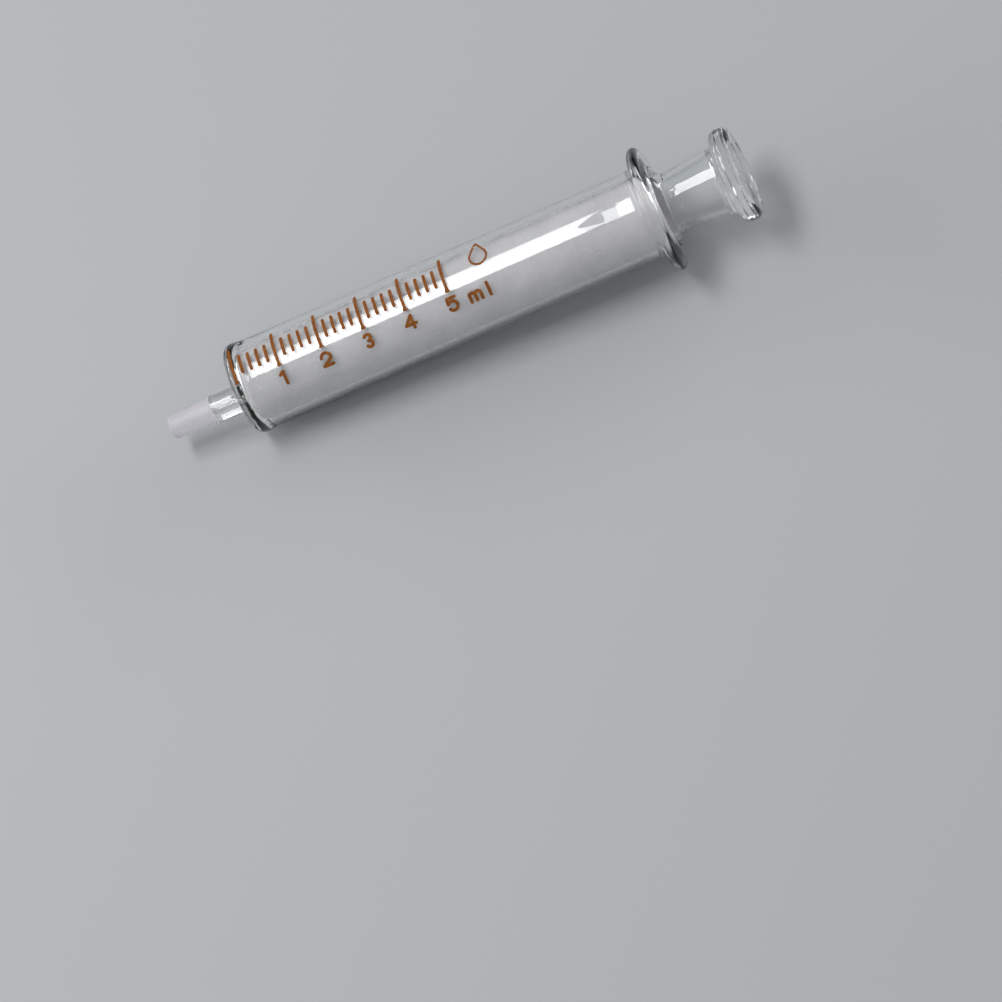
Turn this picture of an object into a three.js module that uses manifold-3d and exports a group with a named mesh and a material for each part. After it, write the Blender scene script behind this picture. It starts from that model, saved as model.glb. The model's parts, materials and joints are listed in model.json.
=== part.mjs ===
// An all-glass syringe of 5 ml with a ground piston, a ground Luer nozzle and an enamel scale.
// Millimetres, +Z up. It lies on its finger flange and on the edge of its base, nozzle towards -X.
// Inside the syringe's own group X runs along the barrel, from the nozzle to the thumb button,
// and X = 0 is the floor of the bore, where the scale starts.

import * as THREE from 'three';
import { mergeVertices } from 'three/addons/utils/BufferGeometryUtils.js';
import Module from 'manifold-3d';

const wasm = await Module();
wasm.setup();

// ---------------------------------------------------------------- driving dimensions

// bore and scale
const boreDiameter = 12.8;
const capacity = 5; // millilitres
const divisions = 5; // lines to a millilitre
const wall = 1.35;
const headroom = 37.74; // from the last line to the flange's outer face

// floor of the barrel
const floorThickness = 1.5;
const baseSwell = 0.3; // how far the floor's rim stands proud of the tube
const swellLength = 3.2;
const boreCorner = 0.8;

// finger flange
const flangeReach = 3.35; // how far it stands out from the tube
const flangeThickness = 1.95;
const flareLength = 9; // gentle flare of the tube before the flange
const flareRise = 0.25;
const flangeFillet = 1.6;
const lipHeight = 0.5;
const lipWidth = 1.1;

// nozzle
const nozzleOffset = 1.05; // its axis from the bore's axis
const nozzleTurn = 125; // degrees round the barrel from the middle of the scale
const neckDiameter = 4.9;
const neckLength = 5.5;
const neckFoot = 0.6; // fillet where the neck meets the floor
const coneLength = 8;
const coneTipDiameter = 4;
const luerTaper = 0.06; // conical taper of a Luer nozzle, on the diameter
const coneTipRound = 0.45;
const channelDiameter = 1.1;

// plunger
const runningFit = 0.04; // radial clearance between the ground surfaces
const endGap = 0.2; // piston to floor when it is pushed home
const pistonWall = 1.2;
const pistonCorner = 1.1;
const shoulderLength = 2.6;
const stemStep = 1.31; // how far the stem rounds in from the piston
const stemFlare = 1; // how far it widens again up to the button
const stemWall = 1.1;
const stemLength = 11.7; // from the flange's outer face to the button
const buttonReach = 2.2; // how far the button stands out from the stem
const buttonThickness = 3.5;
const buttonRound = 1.3;
const buttonRimWidth = 1.5;
const buttonSink = 0.35; // depth of the sunk thumb face

// enamel
const lineWidth = 0.4;
const enamelThickness = 0.12;
const enamelLift = 0.05; // clear of the glass
const longLine = [-26, 26]; // degrees round the barrel, + towards the figures
const shortLine = [-11, 16];
const figureGap = 0.7; // from a long line to its figure
const figureHeight = 2.7;
const figureStroke = 0.5;
const symbolTurn = -9;
const symbolStroke = 0.38;
const unitStart = 4.1; // from the last line to the middle of the unit's first letter
const letterPitch = 2.5;
const symbolStart = 6.8; // from the last line to the middle of the symbol
const symbolLength = 5;
const symbolWidth = 3.4;

// facets and seams
const roundSides = 48;
const nozzleSides = 32;
const arcSteps = 3; // pairs of steps in a rounded corner
const swellSteps = 6;
const seam = 0.3; // gap between parts that the flame joined

// ---------------------------------------------------------------- sizes that follow

const boreRadius = boreDiameter / 2;
const tubeRadius = boreRadius + wall;
const baseRadius = tubeRadius + baseSwell;
const flangeRadius = tubeRadius + flangeReach;
const pistonRadius = boreRadius - runningFit;
const millilitreLength = 1000 / (Math.PI * boreRadius ** 2);
const scaleLength = capacity * millilitreLength;
const barrelLength = scaleLength + headroom;
const coneBaseDiameter = coneTipDiameter + luerTaper * coneLength;
const flareStart = barrelLength - flareLength;
const buttonStart = barrelLength + stemLength;
const stemNarrow = pistonRadius - stemStep;
const stemWide = stemNarrow + stemFlare;
const figureMiddle = (figureGap + figureHeight / 2) / tubeRadius;
const figureTurn = longLine[1] + THREE.MathUtils.radToDeg(figureMiddle);

// Outer radius of the barrel at a station along it: the swollen rim of the floor eases into the tube.
function glassRadius(station) {
	const eased = Math.min(Math.max(station / swellLength, 0), 1);
	return tubeRadius + (baseSwell * (1 + Math.cos(Math.PI * eased))) / 2;
}

// ---------------------------------------------------------------- making shapes

// An outline in the plane of radius (x) and station along the barrel (y).
function outline(draw) {
	const path = new THREE.Path();
	draw(path);
	const points = [];
	for (const point of path.getPoints(arcSteps)) {
		const last = points[points.length - 1];
		if (!last || last.distanceTo(point) > 1e-3) points.push(point);
	}
	return points;
}

// Turns an outline round the X axis. A flat, not an edge, faces down, so that the part lies still.
function turned(points, sides) {
	const geometry = new THREE.LatheGeometry(points, sides, Math.PI / sides);
	return geometry.rotateZ(-Math.PI / 2);
}

function degrees(angle) {
	return THREE.MathUtils.degToRad(angle);
}

// Moves what is drawn on the bore's axis out to the nozzle's axis.
function toNozzle(geometry) {
	const turn = degrees(nozzleTurn);
	return geometry.translate(0, -nozzleOffset * Math.sin(turn), nozzleOffset * Math.cos(turn));
}

function toSolid(geometry) {
	const bare = geometry.clone();
	bare.deleteAttribute('normal');
	bare.deleteAttribute('uv');
	const merged = mergeVertices(bare, 1e-4);
	return new wasm.Manifold(new wasm.Mesh({
		numProp: 3,
		vertProperties: merged.attributes.position.array,
		triVerts: new Uint32Array(merged.index.array)
	}));
}

function toGeometry(solid) {
	const mesh = solid.getMesh();
	const geometry = new THREE.BufferGeometry();
	geometry.setAttribute('position', new THREE.BufferAttribute(mesh.vertProperties, 3));
	geometry.setIndex(new THREE.BufferAttribute(mesh.triVerts, 1));
	return geometry;
}

// ---------------------------------------------------------------- materials

const clearGlass = { color: 0xdfe6e4, roughness: 0.04, metalness: 0 };
const groundGlass = { color: 0xe9e9ec, roughness: 0.55, metalness: 0 };
const enamel = { color: 0xa5590f, roughness: 0.4, metalness: 0 };

const syringe = new THREE.Group();

function add(name, geometry, finish) {
	const mesh = new THREE.Mesh(geometry, new THREE.MeshStandardMaterial(finish));
	mesh.name = name;
	syringe.add(mesh);
}

// ---------------------------------------------------------------- barrel

// The floor: a shallow cup with a rounded, swollen rim, drilled through for the nozzle's channel.
function barrelBase() {
	const end = swellLength - seam / 2;
	const cup = outline((path) => {
		path.moveTo(0, -floorThickness);
		path.lineTo(baseRadius - floorThickness, -floorThickness);
		path.absarc(baseRadius - floorThickness, 0, floorThickness, -Math.PI / 2, 0, false);
		for (let step = 1; step <= swellSteps; step++) {
			const station = (end * step) / swellSteps;
			path.lineTo(glassRadius(station), station);
		}
		path.lineTo(boreRadius, end);
		path.lineTo(boreRadius, boreCorner);
		path.absarc(boreRadius - boreCorner, boreCorner, boreCorner, 0, -Math.PI / 2, true);
		path.lineTo(0, 0);
	});
	const drillLength = 4 * floorThickness;
	const drillRadius = channelDiameter / 2;
	const drill = new THREE.CylinderGeometry(drillRadius, drillRadius, drillLength, nozzleSides);
	drill.rotateZ(-Math.PI / 2);
	return toGeometry(toSolid(turned(cup, roundSides)).subtract(toSolid(toNozzle(drill))));
}

function barrelTube() {
	const start = swellLength + seam / 2;
	const end = flareStart - seam / 2;
	return turned(outline((path) => {
		path.moveTo(boreRadius, start);
		path.lineTo(tubeRadius, start);
		path.lineTo(tubeRadius, end);
		path.lineTo(boreRadius, end);
		path.lineTo(boreRadius, start);
	}), roundSides);
}

// The mouth of the barrel: a gentle flare, a fillet, the flange with its rolled rim, and a lip.
function fingerFlange() {
	const start = flareStart + seam / 2;
	const rimRound = flangeThickness / 2;
	const gripFace = barrelLength - flangeThickness;
	const flareRadius = tubeRadius + flareRise;
	const filletCentre = gripFace - flangeFillet;
	const lipRound = lipWidth / 2;
	const lipMiddle = boreRadius + lipRound;
	return turned(outline((path) => {
		path.moveTo(boreRadius, start);
		path.lineTo(tubeRadius, start);
		path.quadraticCurveTo(tubeRadius, (start + filletCentre) / 2, flareRadius, filletCentre);
		path.absarc(flareRadius + flangeFillet, filletCentre, flangeFillet, Math.PI, Math.PI / 2, true);
		path.lineTo(flangeRadius - rimRound, gripFace);
		path.absarc(flangeRadius - rimRound, gripFace + rimRound, rimRound, -Math.PI / 2, Math.PI / 2, false);
		path.lineTo(boreRadius + lipWidth, barrelLength);
		path.absellipse(lipMiddle, barrelLength, lipRound, lipHeight, 0, Math.PI, false, 0);
		path.lineTo(boreRadius, start);
	}), roundSides);
}

function nozzleNeck() {
	const start = -floorThickness - seam;
	const end = -floorThickness - neckLength + seam / 2;
	const radius = neckDiameter / 2;
	const channel = channelDiameter / 2;
	return toNozzle(turned(outline((path) => {
		path.moveTo(channel, end);
		path.lineTo(radius, end);
		path.lineTo(radius, start - neckFoot);
		path.absarc(radius + neckFoot, start - neckFoot, neckFoot, Math.PI, Math.PI / 2, true);
		path.lineTo(channel, start);
		path.lineTo(channel, end);
	}), nozzleSides));
}

function nozzleCone() {
	const start = -floorThickness - neckLength - seam / 2;
	const tip = -floorThickness - neckLength - coneLength;
	const shoulder = (neckDiameter - coneBaseDiameter) / 2;
	const channel = channelDiameter / 2;
	const tipRadius = coneTipDiameter / 2;
	return toNozzle(turned(outline((path) => {
		path.moveTo(channel, tip);
		path.lineTo(tipRadius - coneTipRound, tip);
		path.absarc(tipRadius - coneTipRound, tip + coneTipRound, coneTipRound, -Math.PI / 2, 0, false);
		path.lineTo(coneBaseDiameter / 2, start - 2 * shoulder);
		path.lineTo(neckDiameter / 2, start);
		path.lineTo(channel, start);
		path.lineTo(channel, tip);
	}), nozzleSides));
}

// ---------------------------------------------------------------- plunger

// The ground piston: a tube closed in front, open at the back towards the stem.
function pistonTube() {
	const front = endGap;
	const back = barrelLength - seam / 2;
	const inner = pistonRadius - pistonWall;
	return turned(outline((path) => {
		path.moveTo(0, front);
		path.lineTo(pistonRadius - pistonCorner, front);
		path.absarc(pistonRadius - pistonCorner, front + pistonCorner, pistonCorner, -Math.PI / 2, 0, false);
		path.lineTo(pistonRadius, back);
		path.lineTo(inner, back);
		path.lineTo(inner, front + pistonWall + boreCorner);
		path.absarc(inner - boreCorner, front + pistonWall + boreCorner, boreCorner, 0, -Math.PI / 2, true);
		path.lineTo(0, front + pistonWall);
	}), roundSides);
}

// The stem: a hollow neck that rounds in from the piston and flares out to the button.
function plungerNeck() {
	const start = barrelLength + seam / 2;
	const waist = barrelLength + shoulderLength;
	const end = buttonStart - seam;
	const bend = shoulderLength / 2;
	const bore = pistonRadius - pistonWall;
	return turned(outline((path) => {
		path.moveTo(pistonRadius, start);
		path.bezierCurveTo(pistonRadius, start + bend, stemNarrow, waist - bend, stemNarrow, waist);
		path.lineTo(stemWide, end);
		path.lineTo(stemWide - stemWall, end);
		path.lineTo(stemNarrow - stemWall, waist);
		path.bezierCurveTo(stemNarrow - stemWall, waist - bend, bore, start + bend, bore, start);
		path.lineTo(pistonRadius, start);
	}), roundSides);
}

function thumbButton() {
	const back = buttonStart + buttonThickness;
	const radius = stemWide + buttonReach;
	const sunk = back - buttonSink;
	const rimInner = radius - buttonRound - buttonRimWidth;
	return turned(outline((path) => {
		path.moveTo(0, buttonStart);
		path.lineTo(radius - buttonRound, buttonStart);
		path.absarc(radius - buttonRound, buttonStart + buttonRound, buttonRound, -Math.PI / 2, 0, false);
		path.absarc(radius - buttonRound, back - buttonRound, buttonRound, 0, Math.PI / 2, false);
		path.quadraticCurveTo(rimInner + buttonRimWidth / 2, back, rimInner, sunk);
		path.lineTo(0, sunk);
	}), roundSides);
}

// ---------------------------------------------------------------- enamel

// A line of the scale: a strip bent round the barrel, from one angle to the other.
function graduation(station, [from, to]) {
	const inner = glassRadius(station - lineWidth / 2) + enamelLift;
	const outer = inner + enamelThickness;
	const start = degrees(from) + Math.PI;
	const end = degrees(to) + Math.PI;
	const section = new THREE.Shape();
	section.absarc(0, 0, outer, start, end, false);
	section.absarc(0, 0, inner, end, start, true);
	const strip = new THREE.ExtrudeGeometry(section, {
		depth: lineWidth,
		bevelEnabled: false,
		curveSegments: arcSteps
	});
	strip.translate(0, 0, station - lineWidth / 2);
	return strip.rotateY(Math.PI / 2);
}

// One stroke of a figure, round at both ends: straight between two points.
function bar(x0, y0, x1, y1, width) {
	const along = Math.atan2(y1 - y0, x1 - x0);
	const shape = new THREE.Shape();
	shape.absarc(x1, y1, width / 2, along - Math.PI / 2, along + Math.PI / 2, false);
	shape.absarc(x0, y0, width / 2, along + Math.PI / 2, along + 1.5 * Math.PI, false);
	return shape;
}

// One stroke of a figure, round at both ends: along a circle, anticlockwise, angles in degrees.
function bow(x, y, radius, from, to, width) {
	const start = degrees(from);
	const end = degrees(to);
	const half = width / 2;
	const endX = x + radius * Math.cos(end);
	const endY = y + radius * Math.sin(end);
	const startX = x + radius * Math.cos(start);
	const startY = y + radius * Math.sin(start);
	const shape = new THREE.Shape();
	shape.absarc(x, y, radius + half, start, end, false);
	shape.absarc(endX, endY, half, end, end + Math.PI, false);
	shape.absarc(x, y, radius - half, end, start, true);
	shape.absarc(startX, startY, half, start + Math.PI, start + 2 * Math.PI, false);
	return shape;
}

// Strokes of a figure, drawn upright round their own middle.
function figureStrokes(character) {
	const w = figureStroke;
	const top = (figureHeight - w) / 2;
	const bowl = top / 2;
	const side = 0.3 * figureHeight;
	const strokes = {
		1: [bar(0.1, -top, 0.1, top, w), bar(0.1, top, -0.5, top - 0.45, w)],
		2: [
			bow(0, top - side, side, -20, 170, w),
			bar(side * Math.cos(degrees(20)), top - side - side * Math.sin(degrees(20)), -side, -top, w),
			bar(-side, -top, side, -top, w)
		],
		3: [bow(0, bowl, bowl, -90, 150, w), bow(0, -bowl, bowl, -150, 90, w)],
		4: [
			bar(0.35, -top, 0.35, top, w),
			bar(0.35, top, -side - 0.1, -0.35 * top, w),
			bar(-side - 0.1, -0.35 * top, side + 0.05, -0.35 * top, w)
		],
		5: [
			bar(side - 0.1, top, -side + 0.15, top, w),
			bar(-side + 0.15, top, -side + 0.05, 0.15, w),
			bow(-0.05, -top + side - 0.05, side - 0.02, -150, 140, w)
		],
		6: [bow(0, side - top, side, 0, 360, w), bow(top - side, side - top, top, 100, 180, w)],
		7: [bar(-side, top, side, top, w), bar(side, top, -0.2, -top, w)],
		8: [bow(0, bowl, bowl, 0, 360, w), bow(0, -bowl, bowl, 0, 360, w)],
		9: [bow(0, top - side, side, 0, 360, w), bow(side - top, top - side, top, -80, 0, w)],
		m: [
			bar(-1, -top, -1, 0.3, w), bar(0, -top, 0, -0.1, w), bar(1, -top, 1, -0.1, w),
			bow(-0.5, -0.1, 0.5, 0, 180, w), bow(0.5, -0.1, 0.5, 0, 180, w)
		],
		l: [bar(0, -top, 0, top, w)]
	};
	return strokes[character];
}

// A drop: a round belly, and two sides that meet in a point above it.
function dropStrokes() {
	const lean = 24; // degrees above the belly's middle where the straight sides start
	const belly = (symbolWidth - symbolStroke) / 2;
	const centre = (symbolWidth - symbolLength) / 2;
	const point = (symbolLength - symbolStroke) / 2;
	const edgeX = belly * Math.cos(degrees(lean));
	const edgeY = centre + belly * Math.sin(degrees(lean));
	return [
		bow(0, centre, belly, 180 - lean, 360 + lean, symbolStroke),
		bar(edgeX, edgeY, 0, point, symbolStroke),
		bar(0, point, -edgeX, edgeY, symbolStroke)
	];
}

// A thin shell just outside the tube, which the strokes are cut from.
const enamelShell = (() => {
	const inner = tubeRadius + enamelLift;
	const outer = inner + enamelThickness;
	const end = flareStart - seam;
	return toSolid(turned(outline((path) => {
		path.moveTo(inner, swellLength);
		path.lineTo(outer, swellLength);
		path.lineTo(outer, end);
		path.lineTo(inner, end);
		path.lineTo(inner, swellLength);
	}), 2 * roundSides));
})();

// Lays strokes on the barrel: reading along +X, their feet turned away from the scale.
function printed(strokes, station, turn) {
	let whole = null;
	for (const shape of strokes) {
		const depth = 2 * tubeRadius;
		const stroke = new THREE.ExtrudeGeometry(shape, { depth, bevelEnabled: false, curveSegments: arcSteps });
		stroke.rotateX(degrees(turn));
		stroke.translate(station, 0, 0);
		const solid = toSolid(stroke);
		whole = whole ? whole.add(solid) : solid;
	}
	return toGeometry(whole.intersect(enamelShell));
}

// ---------------------------------------------------------------- assembly

add('barrel_base', barrelBase(), clearGlass);
add('barrel_tube', barrelTube(), clearGlass);
add('finger_flange', fingerFlange(), clearGlass);
add('nozzle_neck', nozzleNeck(), clearGlass);
add('nozzle_cone', nozzleCone(), groundGlass);

for (let line = 0; line <= capacity * divisions; line++) {
	const whole = Math.floor(line / divisions);
	const tenths = Math.round((10 * (line % divisions)) / divisions);
	const reach = line % divisions === 0 ? longLine : shortLine;
	const station = (line * millilitreLength) / divisions;
	add(`mark_${whole}_${tenths}_ml`, graduation(station, reach), enamel);
}
for (let figure = 1; figure <= capacity; figure++) {
	add(`numeral_${figure}`, printed(figureStrokes(figure), figure * millilitreLength, figureTurn), enamel);
}
['m', 'l'].forEach((letter, place) => {
	const station = scaleLength + unitStart + place * letterPitch;
	add(`unit_${letter}`, printed(figureStrokes(letter), station, figureTurn), enamel);
});
add('symbol_drop', printed(dropStrokes(), scaleLength + symbolStart, symbolTurn), enamel);

add('piston_tube', pistonTube(), groundGlass);
add('plunger_neck', plungerNeck(), clearGlass);
add('thumb_button', thumbButton(), clearGlass);

// Lying down: the flange is wider than the base, so the button's end is raised a little.
const flat = Math.cos(Math.PI / roundSides);
const flangeMiddle = barrelLength - flangeThickness / 2;
syringe.rotation.y = -Math.atan2((flangeRadius - baseRadius) * flat, flangeMiddle);

// The origin is under the middle of the part, on the surface that it lies on.
const box = new THREE.Box3().setFromObject(syringe, true);
const middle = box.getCenter(new THREE.Vector3());
syringe.position.set(-middle.x, -middle.y, -box.min.z);

const part = new THREE.Group();
part.add(syringe);

export default part;
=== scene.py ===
"""A glass syringe of 5 ml, with a ground piston and a ground nozzle, lying on a pale bench.

Everything is in metres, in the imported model's own frame. Pieces are drawn first in the syringe's
own axes: X along the barrel from the nozzle to the thumb button, with 0 at the first line of the
scale, and Z through the middle of the scale. They are put in place once their meshes are made.
"""

import json
import math

import bmesh
import bpy
import mathutils
from mathutils import Matrix, Vector


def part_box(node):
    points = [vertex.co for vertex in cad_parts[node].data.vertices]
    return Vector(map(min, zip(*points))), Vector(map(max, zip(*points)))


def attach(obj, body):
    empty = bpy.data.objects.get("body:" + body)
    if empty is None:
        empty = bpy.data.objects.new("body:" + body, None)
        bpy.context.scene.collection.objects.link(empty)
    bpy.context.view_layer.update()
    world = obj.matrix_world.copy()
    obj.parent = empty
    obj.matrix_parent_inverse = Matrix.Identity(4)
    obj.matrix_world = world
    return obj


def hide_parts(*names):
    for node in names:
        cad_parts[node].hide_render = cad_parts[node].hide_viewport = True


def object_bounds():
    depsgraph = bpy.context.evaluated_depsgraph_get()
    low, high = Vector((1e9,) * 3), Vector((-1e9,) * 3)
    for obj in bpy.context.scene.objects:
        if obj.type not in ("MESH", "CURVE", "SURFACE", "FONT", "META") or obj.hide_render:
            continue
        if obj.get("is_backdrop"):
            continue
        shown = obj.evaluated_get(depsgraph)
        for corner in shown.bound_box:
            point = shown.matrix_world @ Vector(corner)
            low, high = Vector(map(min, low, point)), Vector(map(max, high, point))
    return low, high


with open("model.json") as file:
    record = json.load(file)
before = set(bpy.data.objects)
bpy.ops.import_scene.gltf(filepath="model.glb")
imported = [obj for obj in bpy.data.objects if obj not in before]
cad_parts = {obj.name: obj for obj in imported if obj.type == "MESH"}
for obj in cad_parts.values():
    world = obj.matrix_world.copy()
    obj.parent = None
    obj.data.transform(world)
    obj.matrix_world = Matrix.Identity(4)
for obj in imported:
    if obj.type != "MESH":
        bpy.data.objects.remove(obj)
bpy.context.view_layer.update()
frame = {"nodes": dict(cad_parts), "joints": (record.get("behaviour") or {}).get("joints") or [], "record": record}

bl_info = {
    "name": "Glass Syringe",
    "version": (1, 0, 0),
    "blender": (4, 5, 0),
    "location": "View3D > Sidebar > Glass Syringe",
    "description": "Makes a ground-glass syringe and the bench that it lies on",
    "category": "Add Mesh",
}

MM = 0.001
MATH = "ShaderNodeMath"
GLASS_IOR = 1.473  # borosilicate glass
CREASE = math.radians(40)  # edges that bend further than this are drawn sharp
SLOPE_STEPS = 8  # parts of a straight or gently sloping run of an outline
ARC_STEPS = 10  # parts of a quarter of a circle, or so
CAP_STEPS = 8  # parts of the round end of a stroke
BOW_STEPS = 24  # parts of a bowed stroke
LINE_POINTS = 48  # points along a line of the scale


# ---------------------------------------------------------------- what the frame says


def syringe_axes():
    """The matrix from the syringe's own axes to the frame's."""
    along = Vector(frame["joints"][0]["axis"]).normalized()
    across = Vector((0, 1, 0))
    up = along.cross(across)
    mounts = {mount["name"]: Vector(mount["pos_m"]) for mount in frame["record"]["mounts"]}
    on_axis = mounts["thumb_rest"]
    low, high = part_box("mark_0_0_ml")
    scale_start = (low + high) / 2
    origin = on_axis + along * (scale_start - on_axis).dot(along)
    turn = Matrix((along, across, up)).transposed().to_4x4()
    return Matrix.Translation(origin) @ turn


PLACE = syringe_axes()
UNPLACE = PLACE.inverted()


def measure(node):
    """Where a CAD node lies in the syringe's own axes: stations along the barrel, distances from
    the node's own middle line, that line's offset, and angles round the barrel."""
    points = [UNPLACE @ vertex.co for vertex in frame["nodes"][node].data.vertices]
    stations = [corner.x for corner in points]
    side = [corner.y for corner in points]
    height = [corner.z for corner in points]
    middle = Vector((0, (min(side) + max(side)) / 2, (min(height) + max(height)) / 2))
    spread = [(corner - middle).yz.length for corner in points]
    angles = [math.atan2(-corner.y, corner.z) for corner in points]
    return {
        "first": min(stations),
        "last": max(stations),
        "station": (min(stations) + max(stations)) / 2,
        "inner": min(spread),
        "outer": max(spread),
        "middle": middle,
        "from": min(angles),
        "to": max(angles),
    }


TUBE = measure("barrel_tube")
BASE = measure("barrel_base")
FLANGE = measure("finger_flange")
NECK = measure("nozzle_neck")
CONE = measure("nozzle_cone")
PISTON = measure("piston_tube")
STEM = measure("plunger_neck")
BUTTON = measure("thumb_button")
FIRST_LINE = measure("mark_0_0_ml")
SHORT_LINE = measure("mark_0_2_ml")
LAST_LINE = measure("mark_5_0_ml")
SYMBOL = measure("symbol_drop")
UNIT_M = measure("unit_m")
UNIT_L = measure("unit_l")

# Where the ground glass of the nozzle and of the piston meets clear glass.
CONE_SEAM = (NECK["first"] + CONE["last"]) / 2
PISTON_SEAM = (PISTON["last"] + STEM["first"]) / 2

LINES = sum(name.startswith("mark_") for name in frame["nodes"])
NUMERALS = sum(name.startswith("numeral_") for name in frame["nodes"])
MOUTH = UNPLACE @ Vector(
    next(m["pos_m"] for m in frame["record"]["mounts"] if m["name"] == "flange_outer_face")
)


def linear(code):
    """An sRGB hex colour as linear red, green, blue and alpha."""
    channels = [int(code[at:at + 2], 16) / 255 for at in (1, 3, 5)]
    return tuple(c / 12.92 if c <= 0.04045 else ((c + 0.055) / 1.055) ** 2.4 for c in channels) + (1,)


# ---------------------------------------------------------------- sizes and colours


def length(name, default, description):
    return bpy.props.FloatProperty(
        name=name, description=description, default=default, unit="LENGTH", precision=5
    )


def angle(name, default, description):
    return bpy.props.FloatProperty(
        name=name, description=description, default=default, subtype="ANGLE"
    )


def share(name, default, description):
    return bpy.props.FloatProperty(
        name=name, description=description, default=default, subtype="FACTOR", min=0, soft_max=1
    )


def span(name, default, description):
    return bpy.props.FloatVectorProperty(
        name=name, description=description, default=default, size=2, precision=3
    )


def glow(name, default, description):
    return bpy.props.FloatProperty(name=name, description=description, default=default, min=0)


def point(name, default, description):
    return bpy.props.FloatVectorProperty(
        name=name, description=description, default=default, size=3, subtype="XYZ", unit="LENGTH"
    )


def count(name, default, description):
    return bpy.props.IntProperty(name=name, description=description, default=default, min=1)


def colour(name, code, description):
    return bpy.props.FloatVectorProperty(
        name=name, description=description, default=linear(code), size=4, subtype="COLOR", min=0, max=1
    )


class BarrelSizes(bpy.types.PropertyGroup):
    """Sizes of the barrel and its nozzle."""

    sides: count("Sides", 192, "Facets round every turned piece")
    corner: length("Bore Corner", 0.8 * MM, "Rounding between the bore and its floor")
    swell: length("Swell Length", 3.2 * MM, "How far the swollen rim of the floor runs up the tube")
    flare: length("Flare Length", 6.2 * MM, "Gentle flare of the tube before the flange")
    flare_rise: length("Flare Rise", 0.18 * MM, "How far the tube widens along the flare")
    flange_thickness: length("Flange Thickness", 1.95 * MM, "Thickness of the finger flange")
    fillet: length("Flange Fillet", 1.6 * MM, "Rounding between the tube and the flange")
    groove: length("Flange Groove", 0.28 * MM, "Depth of the dip between the rolled rim and the lip")
    lip_width: length("Lip Width", 1.1 * MM, "Width of the lip round the mouth")
    foot: length("Neck Foot", 0.6 * MM, "Fillet where the nozzle's neck meets the floor")
    tip: length("Tip Diameter", 4 * MM, "Diameter of the ground cone at its end")
    taper: share("Taper", 0.06, "Growth of the cone's diameter over its length")
    tip_round: length("Tip Rounding", 0.45 * MM, "Rounding of the cone's end")
    channel_round: length("Channel Rounding", 0.15 * MM, "Rounding of the channel's mouth")
    film: length("Seam", 0.02 * MM, "Film of air between glass pieces that are drawn apart")
    weld: length("Weld", 0.001 * MM, "Points nearer than this are joined")


class PlungerSizes(bpy.types.PropertyGroup):
    """Sizes of the plunger."""

    wall: length("Piston Wall", 1.2 * MM, "Wall of the hollow piston")
    corner: length("Piston Corner", 1.1 * MM, "Rounding of the piston's front edge")
    shoulder: length("Shoulder Length", 2.6 * MM, "Length over which the stem rounds in")
    waist: length("Waist Radius", 5.01 * MM, "Radius of the stem at its narrowest")
    widen: length("Stem Flare", 1 * MM, "How far the stem widens again up to the button")
    stem_wall: length("Stem Wall", 1.1 * MM, "Wall of the hollow stem")
    button_round: length("Button Rounding", 1.3 * MM, "Rounding of the button's edges")
    button_fillet: length("Button Fillet", 0.7 * MM, "Rounding between the stem and the button")
    rim: length("Button Rim", 1.5 * MM, "Width of the slope inside the button's rim")
    sink: length("Button Sink", 0.35 * MM, "Depth of the sunk thumb face")
    ripple: length("Face Ripple", 0.05 * MM, "Height of the rings left in the thumb face by its mould")
    rings: count("Face Rings", 3, "Rings left in the thumb face by its mould")
    face_steps: count("Face Steps", 32, "Parts of the thumb face from its edge to its middle")


class EnamelSizes(bpy.types.PropertyGroup):
    """Sizes of the fired scale and figures."""

    thickness: length("Thickness", 0.06 * MM, "How far the enamel stands out of the glass")
    depth: length("Depth", 0.01 * MM, "How far the enamel has sunk into the glass")
    line: length("Line Width", 0.56 * MM, "Width of a scale line")
    narrowest: share("Line End", 0.15, "Width of a line at its very end, as a share of its full width")
    dot: length("Dot Length", 0.7 * MM, "Length of the thickened end of a long line")
    dot_swell: share("Dot Swell", 0.8, "How much wider a long line grows at that end")
    figure_height: length("Figure Height", 2.7 * MM, "Height of the figures")
    stroke: length("Stroke", 0.56 * MM, "Width of a figure's stroke")
    symbol_length: length("Symbol Length", 5 * MM, "Height of the drop")
    symbol_width: length("Symbol Width", 3.4 * MM, "Width of the drop")
    symbol_stroke: length("Symbol Stroke", 0.38 * MM, "Width of the drop's outline")
    bend_step: length("Bend Step", 0.25 * MM, "Height of the strips that let a figure bend")
    overcut: length("Overcut", 1 * MM, "How far the cuts between those strips run past the figure")
    figure_turn: angle("Figure Turn", math.radians(41.2), "Turn of the figures round the barrel")
    symbol_turn: angle("Symbol Turn", math.radians(-9), "Turn of the drop round the barrel")


class Finishes(bpy.types.PropertyGroup):
    """Colours of the materials."""

    clear: colour("Clear Glass", "#FEFFFE", "Tint of the clear glass")
    ground: colour("Ground Glass", "#F1EEF2", "Frosted surface of the piston and the cone")
    ground_dim: colour("Ground Glass, Worn", "#E5E2E7", "Where sliding has polished it a little")
    scratch: colour("Scratch", "#FFFFFF", "Fresh scratches and specks in the ground surface")
    enamel: colour("Enamel", "#733E05", "Fired amber-brown enamel")
    enamel_thin: colour("Enamel, Thin", "#8C5312", "Enamel where it went on thin")
    bench: colour("Bench", "#A2A4A6", "The bench that the syringe lies on")
    horizon: colour("Horizon", "#A9ACAF", "The studio at bench height")
    flags: colour("Flags", "#1E2022", "Black cards round the bench, which draw dark edges in the glass")
    ceiling: colour("Ceiling", "#A6A9AC", "The studio overhead")
    front: colour("Front Wall", "#D8DADC", "The studio wall behind the camera")


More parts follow.
